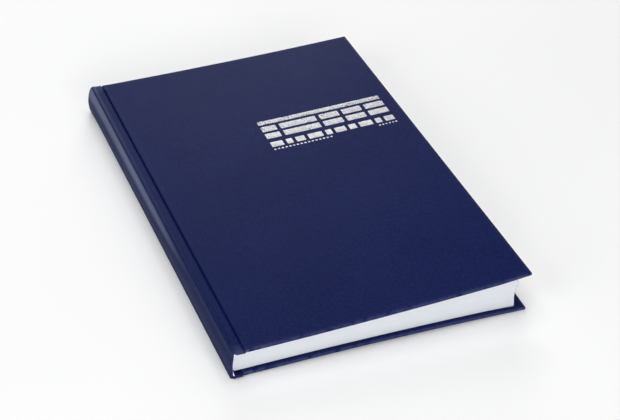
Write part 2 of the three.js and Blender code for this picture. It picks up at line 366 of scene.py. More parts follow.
def endpaper_finish(name, shade, tone):
    """Smooth uncoated sheet: two scales of fibre noise in the colour and the bump."""
    look = Finish(name)
    fibre = look.noise(900.0, 4.0, 0.6)
    cloud = look.levels(look.noise(40.0))
    share = look.plus(look.times(look.levels(fibre), 0.5), look.times(cloud, 0.5))
    look.bumped(fibre, 0.00002, 0.6)
    return look.surface(look.blended(share, shade, tone), look.levels(fibre, 0.78, 0.9),
                        Specular_IOR_Level=0.25)


def crossed_lines(look, first, second, pitch, width):
    """1 on lines that far apart and that wide, along either of two coordinates: each is counted in
    pitches, and its distance from the nearest whole number is compared with half the line's width."""
    lines = []
    for coordinate in (first, second):
        apart = look.off_middle(look.sums("DIVIDE", coordinate, pitch))
        lines.append(look.between(apart, 0.5 - width / pitch, 0.5 - 0.4 * width / pitch))
    return look.sums("MAXIMUM", *lines)


def ruled_leaf_finish(name):
    """Writing paper with a 5 mm square ruling in pale blue-grey and a red margin line."""
    look = Finish(name)
    axes = look.axes()
    fibre = look.noise(800.0, 4.0, 0.6)
    paper = look.blended(look.levels(fibre), (0.80, 0.82, 0.86), (0.88, 0.89, 0.91))
    squares = crossed_lines(look, axes["X"], axes["Y"], RULED_SQUARE, RULE_WIDTH)
    ink = look.times(squares, look.between(look.noise(500.0, 2.0), 0.2, 0.6, 0.45, 0.8))
    inked = look.blended(ink, paper, (0.36, 0.46, 0.66))
    from_line = look.sums("ABSOLUTE", look.minus(axes["X"], MARGIN_LINE_AT))
    margin = look.between(from_line, 0.00012, 0.00028, 1.0, 0.0)
    look.bumped(fibre, 0.00002, 0.5)
    return look.surface(look.blended(look.times(margin, 0.75), inked, (0.62, 0.16, 0.20)),
                        look.levels(fibre, 0.80, 0.92), Specular_IOR_Level=0.2)


def cut_edge_finish(name):
    """Trimmed leaf edges: a dark hairline at each whole leaf number and a stronger one at each
    section, both broken up by noise that is stretched along the leaves."""
    look = Finish(name)
    leaf = look.attribute("leaf")
    along = look.add("ShaderNodeVectorMath", {0: look.place, 1: (60.0, 60.0, 0.0)},
                     operation="MULTIPLY").outputs[0]

    def streaks(per_leaf, scale):
        """Noise that runs along the leaves and changes by per_leaf from one leaf to the next."""
        count = look.add("ShaderNodeCombineXYZ", {"Z": look.times(leaf, per_leaf)}).outputs["Vector"]
        place = look.add("ShaderNodeVectorMath", {0: along, 1: count}, operation="ADD").outputs[0]
        return look.noise(scale, 2.0, place=place)

    tone = streaks(0.9, 1.0)
    broad = streaks(0.12, 0.6)
    hairline = look.between(look.off_middle(leaf), 0.36, 0.5)
    section = look.off_middle(look.sums("DIVIDE", leaf, float(LEAVES_IN_SECTION)))
    seam = look.times(look.between(section, 0.43, 0.5), look.between(broad, 0.35, 0.6, 0.25, 1.0))
    hairline = look.times(hairline, look.between(tone, 0.35, 0.65, 0.05, 0.32))
    dark = look.plus(hairline, look.times(seam, 0.5))
    paper = look.blended(look.levels(tone), (0.581, 0.611, 0.664), (0.739, 0.757, 0.769))
    paper = look.blended(look.between(broad, 0.35, 0.65, 0.0, 0.5), paper, (0.651, 0.679, 0.721))
    look.bumped(look.minus(tone, dark), 0.00004, 0.7)
    return look.surface(look.blended(dark, paper, (0.264, 0.301, 0.389)), look.levels(tone, 0.72, 0.88),
                        Specular_IOR_Level=0.25)


endpaper_sheet = endpaper_finish("white_endpaper", (0.80, 0.81, 0.835), (0.84, 0.85, 0.87))
cotton_band = endpaper_finish("cotton_band", (0.70, 0.73, 0.80), (0.86, 0.88, 0.92))
ruled_leaf = ruled_leaf_finish("ruled_leaf_paper")
cut_edges = cut_edge_finish("trimmed_leaf_edges")
print("paper finishes:", endpaper_sheet.name, ruled_leaf.name, cut_edges.name)

# %% [markdown]
# ## Finish: board, gauze, thread, foil and table
# Grey board is pressed from waste paper, so it shows short fibres and dark flecks. Binder's gauze
# is an open weave stiffened with glue. The linen thread is twisted. The silver on the cover is a
# hot-pressed foil: it bridges the grain badly, so wide areas come out mottled and narrow ones clean.
# %% Board, gauze, thread, foil and table
WEAVE_PITCH = 0.0009
WEAVE_THREAD = 0.00025
TABLE_GLOW = 0.1


def pulp_board_finish(name, dark, pale, speck):
    """Pulp board: flecks of one tone from thresholded noise over a fibrous mix of two others."""
    look = Finish(name, place_from_attribute=False)
    fibre = look.noise(700.0, 5.0, 0.65)
    fleck = look.between(look.noise(1500.0, 2.0), 0.62, 0.7)
    pulp = look.blended(look.levels(fibre), dark, pale)
    look.bumped(fibre, 0.00008, 0.8)
    return look.surface(look.blended(fleck, pulp, speck), look.levels(fibre, 0.86, 0.97))


def gauze_finish(name):
    """Open weave: thin threads every 0.9 mm both ways, with darker glue between them."""
    look = Finish(name)
    axes = look.axes()
    threads = crossed_lines(look, axes["Y"], axes["Z"], WEAVE_PITCH, WEAVE_THREAD)
    glue = look.blended(look.levels(look.noise(300.0)), (0.55, 0.49, 0.38), (0.68, 0.63, 0.52))
    look.bumped(threads, 0.0001, 0.9)
    return look.surface(look.blended(threads, glue, (0.83, 0.80, 0.72)),
                        look.between(threads, 0.0, 1.0, 0.55, 0.9))


def thread_finish(name):
    """Twisted linen: slanting bands across the stitch, broken by fibre noise."""
    look = Finish(name, place_from_attribute=False)
    inputs = {"Vector": look.place, "Scale": 900.0, "Distortion": 1.5, "Detail": 2.0}
    twist = look.add("ShaderNodeTexWave", inputs, bands_direction="DIAGONAL").outputs["Fac"]
    hairs = look.noise(3000.0)
    share = look.times(twist, look.levels(hairs, 0.6, 1.0))
    look.bumped(share, 0.0001, 0.9)
    return look.surface(look.blended(share, (0.52, 0.48, 0.40), (0.86, 0.83, 0.76)),
                        look.levels(hairs, 0.7, 0.85))


def foil_finish(name):
    """Silver foil: the cloth's navy shows through where noise is above a limit that the mesh's
    mottle value lowers, and the metal's own shine varies."""
    look = Finish(name)
    grit = look.noise(900.0, 3.0, 0.75)
    patch = look.noise(220.0, 3.0, 0.6)
    wear_and_highlight = look.plus(look.times(grit, 0.62), look.times(patch, 0.38))
    limit = look.minus(0.70, look.times(look.attribute("mottle"), 0.18))
    gone = look.between(look.minus(wear_and_highlight, limit), -0.02, 0.05, 0.0, 0.85)
    silver = look.blended(look.levels(patch), (0.40, 0.40, 0.42), (0.62, 0.62, 0.63))
    look.bumped(wear_and_highlight, 0.00003, 0.8)
    return look.surface(look.blended(gone, silver, (0.03, 0.04, 0.12)), look.levels(grit, 0.42, 0.62),
                        Metallic=look.between(gone, 0.0, 0.85, 0.45, 0.0))


def table_finish(name):
    """Matt white laminate with a faint cloud, so the table isn't one flat tone."""
    look = Finish(name, place_from_attribute=False)
    cloud = look.levels(look.noise(3.0))
    return look.surface(look.blended(cloud, (0.86, 0.86, 0.86), (0.88, 0.88, 0.88)), 0.9,
                        Emission_Color=(1.0, 1.0, 1.0, 1.0), Emission_Strength=TABLE_GLOW)


board_pulp = pulp_board_finish("grey_board", dark=(0.20, 0.18, 0.15), pale=(0.33, 0.31, 0.27),
                               speck=(0.08, 0.07, 0.06))
lined_card = pulp_board_finish("white_lined_card", dark=(0.62, 0.63, 0.64), pale=(0.78, 0.80, 0.83),
                               speck=(0.48, 0.46, 0.44))
gauze_weave = gauze_finish("binders_gauze")
linen_thread = thread_finish("linen_thread")
silver_foil = foil_finish("silver_foil")
table_mesh.materials.append(table_finish("white_table"))
print("finishes:", board_pulp.name, gauze_weave.name, linen_thread.name, silver_foil.name)

# %% [markdown]
# ## From points to pieces
# Most parts of a book are sheets: two large faces and thin edges. So the main shape here is a
# closed sheet: an upper grid of points and a lower one, joined all round. Boards and bands are
# built from a pile of loops instead. Either way the enclosed volume is measured, and the faces are
# turned when it comes out negative, so every face looks outwards. Two small curves, a ramp and a
# bell, are at work in nearly every shape.
# %% Curves and meshes
SHARP_ABOVE = math.radians(38.0)


def spread(low, high, count):
    """Evenly spaced numbers, both ends included."""
    return np.linspace(low, high, count)


def ramp(value, start, over):
    """3 t^2 - 2 t^3: climbs smoothly from 0 at start to 1 at start + over, and is level beyond."""
    t = np.clip((value - start) / over, 0.0, 1.0)
    return t * t * (3.0 - 2.0 * t)


def bell(value, middle, reach):
    """1 at the middle, falling off smoothly to about a third at that reach on either side."""
    return np.exp(-((value - middle) / reach) ** 2)


def mix(at_0, at_1, share):
    """at_0 where share is 0, at_1 where it is 1, and evenly between."""
    return at_0 + (at_1 - at_0) * share


def in_frame(u, y, z):
    """Points in metres in the frame's own axes, from u, y and z in millimetres."""
    return np.stack(np.broadcast_arrays(np.asarray(u, float) - BOOK_WIDTH / 2, y, z), axis=-1) * MM


def tiles(rows, around):
    """Four-sided faces between loops of points: rows loops, each with around points."""
    r, c = np.meshgrid(np.arange(rows - 1), np.arange(around), indexing="ij")
    d = (c + 1) % around
    return np.stack([r * around + c, r * around + d, (r + 1) * around + d, (r + 1) * around + c],
                    axis=-1).reshape(-1, 4)


def outward(points, groups):
    """Faces turned so that the volume is positive: the sum over fans of triangles of a . (b x c)."""
    volume = 0.0
    for group in groups:
        for k in range(1, group.shape[1] - 1):
            b, c = points[group[:, k]], points[group[:, k + 1]]
            volume += np.einsum("ij,ij->i", points[group[:, 0]], np.cross(b, c)).sum()
    return [group[:, ::-1] for group in groups] if volume < 0 else groups


def piece(name, points, groups, finishes, values=None, finish_of_face=None):
    """A mesh object at the origin. points are metres; groups are arrays of faces with equal numbers
    of corners; values are extra numbers per point; finish_of_face picks one of the finishes."""
    groups = outward(points, groups)
    mesh = bpy.data.meshes.new(name)
    mesh.from_pydata(points.tolist(), [], [face for group in groups for face in group.tolist()])
    rest = mesh.attributes.new("rest", "FLOAT_VECTOR", "POINT")
    rest.data.foreach_set("vector", points.astype(np.float32).ravel())
    for key, value in (values or {}).items():
        kept = mesh.attributes.new(key, "FLOAT", "POINT")
        kept.data.foreach_set("value", value.astype(np.float32).ravel())
    for finish in finishes:
        mesh.materials.append(finish)
    if finish_of_face is not None:
        mesh.polygons.foreach_set("material_index", finish_of_face.astype(np.int32))
    mesh.polygons.foreach_set("use_smooth", np.ones(len(mesh.polygons), bool))
    mesh.set_sharp_from_angle(angle=SHARP_ABOVE)
    mesh.update()
    made = bpy.data.objects.new(name, mesh)
    bpy.context.scene.collection.objects.link(made)
    return made


def closed_sheet(upper, lower):
    """Points and faces of a thin solid between two grids (rows, columns, 3). Each row becomes a loop,
    out along the upper grid and back along the lower one; the first and last loops are closed like a
    ladder. The last group of faces is the two ladders."""
    loops = np.concatenate([upper, lower[:, ::-1]], axis=1)
    rows, around = loops.shape[:2]
    k = np.arange(around // 2 - 1)
    ladder = np.stack([k, around - 1 - k, around - 2 - k, k + 1], axis=-1)
    ladders = np.concatenate([ladder, ladder[:, ::-1] + (rows - 1) * around])
    return loops.reshape(-1, 3), [tiles(rows, around), ladders]


def pile_of_loops(loops):
    """Points and faces of loops (count, around, 3), closed at both ends by a fan to their middle."""
    rows, around = loops.shape[:2]
    points = np.concatenate([loops.reshape(-1, 3), loops[:1].mean(axis=1), loops[-1:].mean(axis=1)])
    k = np.arange(around)
    following = (k + 1) % around
    top = np.full(around, rows * around)
    base = (rows - 1) * around
    fans = np.concatenate([np.stack([following, k, top], axis=-1),
                           np.stack([base + k, base + following, top + 1], axis=-1)])
    return points, [tiles(rows, around), fans]


def sheet(name, upper, lower, finish):
    """A closed sheet as a piece with one finish."""
    return piece(name, *closed_sheet(upper, lower), [finish])


def fitted(made, body, node):
    """Lets a piece ride on a body in the place of a node of the frame, and hides that node."""
    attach(made, body)
    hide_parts(node)
    return made


def bent(made, start, end):
    """Bakes a piece's transform into its mesh; start and end, (u, z) in millimetres, are converted but
    not used.
    """
    start, end = (tuple(in_frame(u, 0.0, z)) for u, z in (start, end))
    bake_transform(made)


def tell(made):
    """Says what was made."""
    print(made.name, "has", len(made.data.polygons), "faces")


print("a ramp over 0..1 at a quarter:", ramp(0.25, 0.0, 1.0))

# %% [markdown]
# ## The covered boards
# A board is greyboard wrapped in cloth: the cloth folds round the edges and turns in 14 mm on the
# inside, where its edge makes a small step under the pastedown. Use presses the corners a little
# thinner than the rest. A cube with bevels would miss the step and the rounder, thinner corners.
# Instead the skin is a pile of rounded loops: from the middle of the outer face out to the edge,
# round it, and back in across the inner face.
# %% Loops of a covered board
CORNER = 0.8
EDGE_ROUND = 0.55
TURN_IN = 14.0
TURN_IN_STEP = 0.28
SIDE_POINTS = 40
CORNER_POINTS = 9
MIDDLE_LOOPS = 14
MIDDLE_INSET = 80.0
CORNER_PRESS = 0.35
CORNER_REACH = 14.0
RUBBED_EDGE = 0.9
RUBBED_CORNER = 7.0


def rounded_loop(half_x, half_y, radius):
    """x and y, shape (loops, points), of rectangles with round corners: each corner is a quarter
    circle, and the sides between them are evenly divided. Sizes have the shape (loops, 1)."""
    turns = np.concatenate([
        np.concatenate([spread(q, q + 0.5 * math.pi, CORNER_POINTS),
                        np.full(SIDE_POINTS, q + 0.5 * math.pi)]) for q in 0.5 * math.pi * np.arange(4)])
    slide = np.tile(np.concatenate([np.zeros(CORNER_POINTS), spread(0, 1, SIDE_POINTS + 2)[1:-1]]), 4)
    quarter = np.repeat(np.arange(4), CORNER_POINTS + SIDE_POINTS)
    signs = np.array([[1, 1], [-1, 1], [-1, -1], [1, -1]], float)
    corner, following = signs[quarter], signs[(quarter + 1) % 4]
    at = corner + (following - corner) * slide[:, None]
    x = (half_x - radius) * at[:, 0] + radius * np.cos(turns)
    y = (half_y - radius) * at[:, 1] + radius * np.sin(turns)
    return x, y


def board_ripple(x, y):
    """The board's own slight unevenness in millimetres: three long, slanting waves added up."""
    return (0.05 * np.sin(0.021 * x + 0.013 * y + 0.6) + 0.04 * np.sin(0.034 * y - 0.017 * x)
            + 0.02 * np.sin(0.06 * x + 0.05 * y + 2.0))


def pressed(height, x, y):
    """Heights of a board in millimetres, thinned towards the two corners of its fore-edge, where
    wear presses it: x and y are from the board's middle, and the outer face, at 0, keeps its place."""
    from_corner = np.hypot(HALF_BOARD - x, HALF_HEIGHT - np.abs(y))
    return height * (1.0 - CORNER_PRESS * bell(from_corner, 0.0, CORNER_REACH))


def board_skin():
    """x, y, height and edge value of the loops, in millimetres. Height is 0 on the outer face and
    falls to minus the skin's thickness. The inset of each loop from the outline follows the face, a
    quarter circle, the side, a quarter circle, the turned-in cloth and the step at its end."""
    arc = spread(0, 0.5 * math.pi, 7)
    face = np.array([70.0, 50.0, 35.0, 24.0, 17.0, 13.0, 9.0, 6.0, 4.0, 2.6, 1.6, 1.1])
    turned_in = face[:4:-1]
    beyond = [TURN_IN - 0.2, TURN_IN, TURN_IN + 0.35, *face[4::-1]]
    middle = np.full(MIDDLE_LOOPS, MIDDLE_INSET)
    inset = np.concatenate([middle, face, EDGE_ROUND * (1 - np.sin(arc)),
                            EDGE_ROUND * (1 - np.cos(arc)), turned_in, beyond, middle])
    step = np.array([0.0, 0.12] + [1.0] * 6) * TURN_IN_STEP
    height = np.concatenate([np.zeros(MIDDLE_LOOPS + len(face)), EDGE_ROUND * (np.cos(arc) - 1),
                             EDGE_ROUND - SKIN - EDGE_ROUND * np.sin(arc),
                             np.full(len(turned_in), -SKIN), step - SKIN,
                             np.full(MIDDLE_LOOPS, TURN_IN_STEP - SKIN)])
    x, y = rounded_loop((HALF_BOARD - inset)[:, None], (HALF_HEIGHT - inset)[:, None],
                        np.maximum(CORNER - inset, 0.05)[:, None])
    shares = spread(0.04, 0.96, MIDDLE_LOOPS)
    scale = np.concatenate([shares, np.ones(len(inset) - 2 * MIDDLE_LOOPS), shares[::-1]])[:, None]
    x, y = x * scale, y * scale
    from_corner = np.hypot(HALF_BOARD - np.abs(x), HALF_HEIGHT - np.abs(y))
    edge = np.exp(-inset / RUBBED_EDGE)[:, None] * (0.45 + 0.75 * np.exp(-from_corner / RUBBED_CORNER))
    return x, y, pressed(height[:, None], x, y) + board_ripple(x, y), edge


skin_x, skin_y, skin_height, skin_edge = board_skin()
print("a covered board has", skin_x.size, "points in", len(skin_x), "loops")

# %% [markdown]
# ## The two covers
# The back cover lies on the table. The front cover is held nearly three degrees open by the
# swollen leaves, and turns about a line just above the groove. Both use the same skin, once lying
# with its outer face down and once tilted about the hinge line. Two functions place points on them,
# bow included, and everything else that belongs to a cover is placed by the same two.
# %% The covers' skins and boards
BOARD_UNDER_CLOTH = 0.45
BOARD_DEPTH = 2.2


def on_front_cover(along, y, height):
    """Points of the front cover: along is measured from the hinge line towards the fore-edge, and
    height from the cover's outer face, both in its own tilted plane. The face sags by the bow."""
    lift = height - HINGE_RISE - FRONT_SAG * bow(along + HINGE_U)
    along = along + board_shift(along + HINGE_U, y)
    u = HINGE_U + along * math.cos(SPLAY) - lift * math.sin(SPLAY)
    z = HINGE_Z + along * math.sin(SPLAY) + lift * math.cos(SPLAY)
    return in_frame(u, y, z)


def on_back_cover(along, y, height):
    """The same for the back cover, which lies face down on the table and is arched by the bow."""
    u = along + HINGE_U
    return in_frame(u + board_shift(u, y), y, BACK_ARCH * bow(u) - height)


def cover_skin(name, to_points, node, body):
    """One covered board, its loops placed by to_points(along, y, height)."""
    loops = to_points(skin_x + HALF_BOARD + BOARD_FROM - HINGE_U, skin_y, skin_height)
    edge = np.append(skin_edge.ravel(), [0.0, 0.0])
    made = piece(name, *pile_of_loops(loops), [cover_cloth], {"edge": edge})
    return fitted(made, body, node)


def board_inside(name, to_points, node, body):
    """The greyboard itself: a closed sheet that lies inside the skin and follows its bow."""
    along = (spread(BOARD_FROM + 0.4, BOOK_WIDTH - BOARD_UNDER_CLOTH, 61) - HINGE_U)[None]
    y = (HALF_HEIGHT - BOARD_UNDER_CLOTH) * spread(-1, 1, 81)[:, None]
    x = along + HINGE_U - BOARD_MIDDLE
    outer, inner = (to_points(along, y, pressed(-depth, x, y))
                    for depth in (BOARD_UNDER_CLOTH, BOARD_DEPTH))
    return fitted(sheet(name, outer, inner, board_pulp), body, node)


tell(cover_skin("front_cover_leatherette", on_front_cover, "front_cover_cloth", "front_cover"))
tell(cover_skin("back_cover_leatherette", on_back_cover, "back_cover_cloth", "back_cover"))
tell(board_inside("front_greyboard", on_front_cover, "front_board", "front_cover"))
tell(board_inside("back_greyboard", on_back_cover, "back_board", "back_cover"))

# %% [markdown]
# ## Spine and grooves
# One sheet of cloth runs from the back board through its groove, over the rounded spine and down
# through the front groove to the front board. It crosses three hinge lines, and a piece can bend
# across only one, so it is cut where nothing bends: in the middle of the spine and on the floor of
# the front groove. At head and tail the cloth is turned in over the spine card, which gives the
# spine its thick, round end. The front shoulder stands a little above the board, the groove beyond
# it is shallow and flat, and a narrow crease beside the board marks where the cover hinges.
# %% The path of the cloth across the back
CARD_CORE = 1.1
CARD_EDGE_AT = 1.0
CARD_EDGE_OVER = 1.6
CORE_LEFT = 0.04
BULGE = 0.4
CLOTH_SAGITTA = 1.4
CLOTH_CHORD = BOOK_THICKNESS / 2 - 1.3
CLOTH_RADIUS = (CLOTH_CHORD ** 2 + CLOTH_SAGITTA ** 2) / (2 * CLOTH_SAGITTA)
SHOULDER_PULL = 0.85
RIDGE_AT = 2.35
RIDGE_DROP = {"front": -0.2, "back": 0.06}
GROOVE_DEPTH = 0.85
GROOVE_FLOOR_FROM = 5.4
FLOOR_SEAM_AT = 7.0
CREASE_AT = 9.7
CREASE_DEPTH = 0.55
CREASE_REACH = 0.35
BOARD_TOP = 10.5
TUCK_FROM = 12.2
TUCK_TO = 14.5
TUCK_DEPTH = 0.1
PROUD = 0.02
SEAM = 0.04


def groove_drop(u, ridge):
    """How far the cloth lies below the board's face: from the shoulder's ridge it falls to a flat
    floor, dips into a narrow crease beside the board, climbs to a hair above the board's face, and
    at last tucks in below it."""
    fall = (GROOVE_DEPTH - ridge) * ramp(u, RIDGE_AT, GROOVE_FLOOR_FROM - RIDGE_AT)
    crease = CREASE_DEPTH * bell(u, CREASE_AT, CREASE_REACH)
    climb = (GROOVE_DEPTH + PROUD) * ramp(u, CREASE_AT, BOARD_TOP - CREASE_AT)
    tuck = (PROUD + TUCK_DEPTH) * ramp(u, TUCK_FROM, TUCK_TO - TUCK_FROM)
    return ridge + fall + crease - climb + tuck


def half_path(side):
    """Half of the cloth's outer line, from the middle of the spine to the board, as u, the drop
    below the board's face and the core's thickness: an arc, a rounded shoulder, then the groove."""
    ridge = RIDGE_DROP[side]
    reach = math.asin(CLOTH_CHORD / CLOTH_RADIUS)
    angle = np.insert(spread(0, reach, 15), 1, SEAM / CLOTH_RADIUS)
    arc_u = CLOTH_RADIUS * (1 - np.cos(angle)) - BULGE
    arc_drop = BOOK_THICKNESS / 2 - CLOTH_RADIUS * np.sin(angle)
    end = np.array([arc_u[-1], arc_drop[-1]])
    heading = np.array([math.sin(reach), -math.cos(reach)])
    top = np.array([RIDGE_AT, ridge])
    t = spread(0, 1, 14)[1:-1, None]
    shoulder = ((1 - t) ** 3 * end + 3 * (1 - t) ** 2 * t * (end + SHOULDER_PULL * heading)
                + 3 * (1 - t) * t ** 2 * (top - np.array([SHOULDER_PULL, 0.0])) + t ** 3 * top)
    floor = [6.3, FLOOR_SEAM_AT, FLOOR_SEAM_AT + SEAM, 8.0, 8.6]
    groove_u = np.unique(np.concatenate([spread(RIDGE_AT, 5.6, 17), floor, spread(8.8, BOARD_TOP, 25),
                                         spread(BOARD_TOP, TUCK_TO, 9)]))
    u = np.concatenate([arc_u, shoulder[:, 0], groove_u])
    drop = np.concatenate([arc_drop, shoulder[:, 1], groove_drop(groove_u, ridge)])
    return u, drop, CARD_CORE * (1 - ramp(u, CARD_EDGE_AT, CARD_EDGE_OVER)) + CORE_LEFT


for side in RIDGE_DROP:
    path_u, path_drop, _ = half_path(side)
    print(side, "path:", len(path_u), "stations, lowest drop", round(float(path_drop.max()), 2))

# %% [markdown]
# The cloth has a thickness, and at head and tail it folds round the core. Seen along the book, its
# outside is one long chain of points: the tip of the turned-in flap at the tail, round the end,
# along the outer face, round the head end and in again. The inside is the same chain one cloth
# thickness further in.
# %% The folded cloth
FLAP = 12.0
SPINE_OVERHANG = 0.15
JOINT_OVERHANG = 1.5
HEAD_CAP = 0.75
CAP_REACH = 14.0
CAP_DEPTH = 1.3
END_RUB = 0.3
END_RUB_REACH = 1.2


def folded_chain(core, inner, half):
    """y and depth of the chain, for core thicknesses of shape (stations, 1). inner is the cloth's
    thickness on the inside chain and 0 on the outside one, and half is the cloth's half length: the
    end is a half circle from that depth to the far side of the flap."""
    middle = CLOTH + core / 2
    radius = middle - inner
    turn = spread(0, math.pi, 13)
    end = half - middle
    head_y = end + radius * np.sin(turn)
    head_depth = middle - radius * np.cos(turn)
    flap_y = end - (end - half + FLAP) * spread(0, 1, 6)[1:]
    flap_depth = np.broadcast_to(middle + radius, flap_y.shape)
    face_y = end * spread(-1, 1, 33)[1:-1]
    face_depth = np.broadcast_to(inner, face_y.shape)
    y = [-flap_y[:, ::-1], -head_y[:, ::-1], face_y, head_y, flap_y]
    depth = [flap_depth[:, ::-1], head_depth[:, ::-1], face_depth, head_depth, flap_depth]
    return np.concatenate(y, axis=1), np.concatenate(depth, axis=1)


def path_across(side):
    """u, z, inward normal and core of one half. The front half rises with the cover past the hinge
    line, and both follow the bow of their board."""
    u, drop, core = half_path(side)
    if side == "front":
        z = BOOK_THICKNESS - drop + np.maximum(u - HINGE_U, 0.0) * math.tan(SPLAY) - FRONT_SAG * bow(u)
    else:
        z = drop + BACK_ARCH * bow(u)
    along = np.stack([np.gradient(u), np.gradient(z)], axis=-1)
    along /= np.linalg.norm(along, axis=1)[:, None]
    turned = 1.0 if side == "front" else -1.0
    return u, z, np.stack([along[:, 1], -along[:, 0]], axis=-1) * turned, core[:, None]


def painted_highlight_share(points):
    """How strong the painted highlight is: a band below the crest of the upper shoulder. At the head it
    starts 11 mm above the table and grows over 6.5 mm, and towards the tail it narrows to a weaker line
    that starts at 18.5 mm."""
    u, y, z = (points / MM).T
    headward = ramp(y, -125.0, 135.0)
    grow = ramp(z, mix(18.5, 11.0, headward), mix(2.5, 6.5, headward))
    past_crest = u + BOOK_WIDTH / 2 - 1.1 - askew(y) + 0.6 * (1 - headward)
    return grow * (1 - ramp(past_crest, 0.0, 0.8)) * mix(0.45, 1.0, headward)


def folded_cloth(name, side, keep):
    """A closed sheet over the kept stations of one half of the path. Over the spine the cloth is a
    little longer than the boards, and more so over the joint. At the head the fold is not pressed
    home, so the outer layers stand off the card there. The edge value marks the folded ends."""
    u, z, inward, core = (values[keep] for values in path_across(side))
    longer = mix(SPINE_OVERHANG, JOINT_OVERHANG, ramp(u, 2.2, 2.2))
    half = HALF_HEIGHT + (longer * (1 - ramp(u, 9.3, 1.2)))[:, None]
    u = u[:, None]
    grids = []
    for inner in (0.0, CLOTH):
        y, depth = folded_chain(core, inner, half)
        cap = bell(y, HALF_HEIGHT, CAP_REACH) * (1 - ramp(u, 0.2, 2.0))
        across = u + askew(y) * ramp(u, -0.2, 2.2) - HEAD_CAP * cap * (1 - ramp(depth, 0.0, CAP_DEPTH))
        grids.append(in_frame(across + inward[:, :1] * depth, y, z[:, None] + inward[:, 1:] * depth))
    points, groups = closed_sheet(*grids)
    from_end = HALF_HEIGHT + SPINE_OVERHANG - np.abs(points[:, 1]) / MM
    # The second value sets the strength of the painted highlight on the upper shoulder.
    values = {"edge": END_RUB * np.exp(-from_end / END_RUB_REACH), "painted_highlight": painted_highlight_share(points)}
    return piece(name, points, groups, [cover_cloth], values)


def joined(cloth, start, end, nodes):
    """Bakes the cloth's transform, hides the frame's nodes in its place and says what was made."""
    bent(cloth, start, end)
    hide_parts(*nodes)
    tell(cloth)


stations = np.arange(len(half_path("front")[0]))
floor_seam = int(np.argmin(np.abs(half_path("front")[0] - FLOOR_SEAM_AT)))
joined(folded_cloth("back_joint_and_spine_cloth", "back", stations),
       (3.6, 0.8), (1.2, 3.4), ["back_joint_cloth", "spine_cloth"])
joined(folded_cloth("front_shoulder_cloth", "front", stations[:floor_seam + 2]),
       (1.2, BOOK_THICKNESS - 3.4), (3.6, BOOK_THICKNESS - 0.8),
       ["spine_cloth", "front_joint_cloth"])
joined(folded_cloth("front_groove_cloth", "front", stations[floor_seam + 1:]),
       (8.6, BOOK_THICKNESS), (10.5, BOOK_THICKNESS),
       ["front_joint_cloth"])

# %% [markdown]
# ## The block of leaves
# Twenty sections of twelve leaves are sewn through their folds, then rounded, so the folds lie on
# an arc. The glued spine is tighter than the fore-edge, so the leaves fan out by nearly three
# degrees, and they bend with the bow of the cover they lie against. Each section is a closed
# sheet: round at the fold, flat above and below, and stepped by single leaves at the fore-edge.
# %% Sections
ROWS = 49
AIR = 0.015
TRIM_SPREAD = 0.07
TRIM_WAVE = 0.05
STEPS = np.array([6, 4, 4, 2, 2, 0])
trimmer = np.random.default_rng(240)


def fold_u(z):
    """Where a fold at height z lies: on the arc about the spine's centre, FOLD_AT from its back."""
    return SPINE_RADIUS - np.sqrt((SPINE_RADIUS - FOLD_AT) ** 2 - (z - BOOK_THICKNESS / 2) ** 2)


def leaf_line(line, u):
    """Height of the face number line, counted in sections: it starts at its own fold, climbs at its
    share of the splay, and takes its share of the bows of the two boards."""
    share = line / SECTIONS
    bowed = (BACK_ARCH * (1 - share) - FRONT_SAG * share) * bow(u)
    return BLOCK_BOTTOM + SECTION * line + (u - FOLD_AT) * np.tan(SPLAY * share) + bowed


def fore_edge_u(line):
    """Where the leaf at that height in the block ends: the upper leaves stand out by 1.1 mm around
    section 15, and the topmost ones are drawn in by 1.6 mm."""
    drawn_in = 1.6 * ramp(line, 16.0, 4.0) - 1.1 * bell(line, 14.8, 2.8)
    fold = fold_u(BLOCK_BOTTOM + SECTION * (line + 0.5))
    return fold + LEAF_WIDTH * np.cos(SPLAY * line / SECTIONS) - drawn_in


def section_grids(index):
    """Upper and lower grids of one section and the leaf number of each point. Both chains leave the
    fold on a quarter circle, run out, and meet again in the middle of the stepped fore-edge."""
    turn = spread(0, 0.5 * math.pi, 7)
    near = fold_u(BLOCK_BOTTOM + SECTION * (index + 0.5)) + (SECTION - AIR) / 2 * (1 - np.cos(turn))
    edge = fore_edge_u(index)
    out = np.append(near, spread(near[-1], edge, 25)[1:])
    open_by = np.append(np.sin(turn), np.ones(len(out) - len(turn)))
    y = LEAF_HALF_HEIGHT * spread(-1, 1, ROWS)[:, None]
    grids, numbers = [], []
    for side in (1.0, -1.0):
        level = 0.5 + side * (0.5 - AIR / 2 / SECTION) * open_by
        leaves = STEPS * side / LEAVES_IN_SECTION + 0.5
        leaves[0] = level[-1]
        trim = np.repeat(trimmer.normal(0.0, TRIM_SPREAD, 3), 2)
        wave = TRIM_WAVE * np.sin(y / 31.0 + index * 1.7 + side)
        u = np.concatenate([np.tile(out, (ROWS, 1)), edge + trim + wave], axis=1)
        height = index + np.tile(np.append(level, leaves), (ROWS, 1))
        grids.append(in_frame(u, y, leaf_line(height, u)))
        numbers.append(height * LEAVES_IN_SECTION)
    return grids, numbers


def section_piece(index):
    """One section with ruled faces and trimmed edges, riding on its half of the block."""
    grids, (upper, lower) = section_grids(index)
    points, groups = closed_sheet(*grids)
    columns = grids[0].shape[1]
    column = np.tile(np.arange(2 * columns), ROWS - 1)
    at_fore_edge = (column >= columns - 1 - len(STEPS)) & (column < columns + len(STEPS))
    cut = at_fore_edge | (column == 2 * columns - 1)
    finish = np.concatenate([cut.astype(int), np.ones(len(groups[1]), int)])
    number = SECTIONS - index
    leaf = np.concatenate([upper, lower[:, ::-1]], axis=1)
    made = piece("sewn_section_%02d" % number, points, groups, [ruled_leaf, cut_edges],
                 {"leaf": leaf}, finish)
    body = "back_cover" if index < SECTIONS // 2 else "upper_leaves"
    return fitted(made, body, "section_%02d" % number)


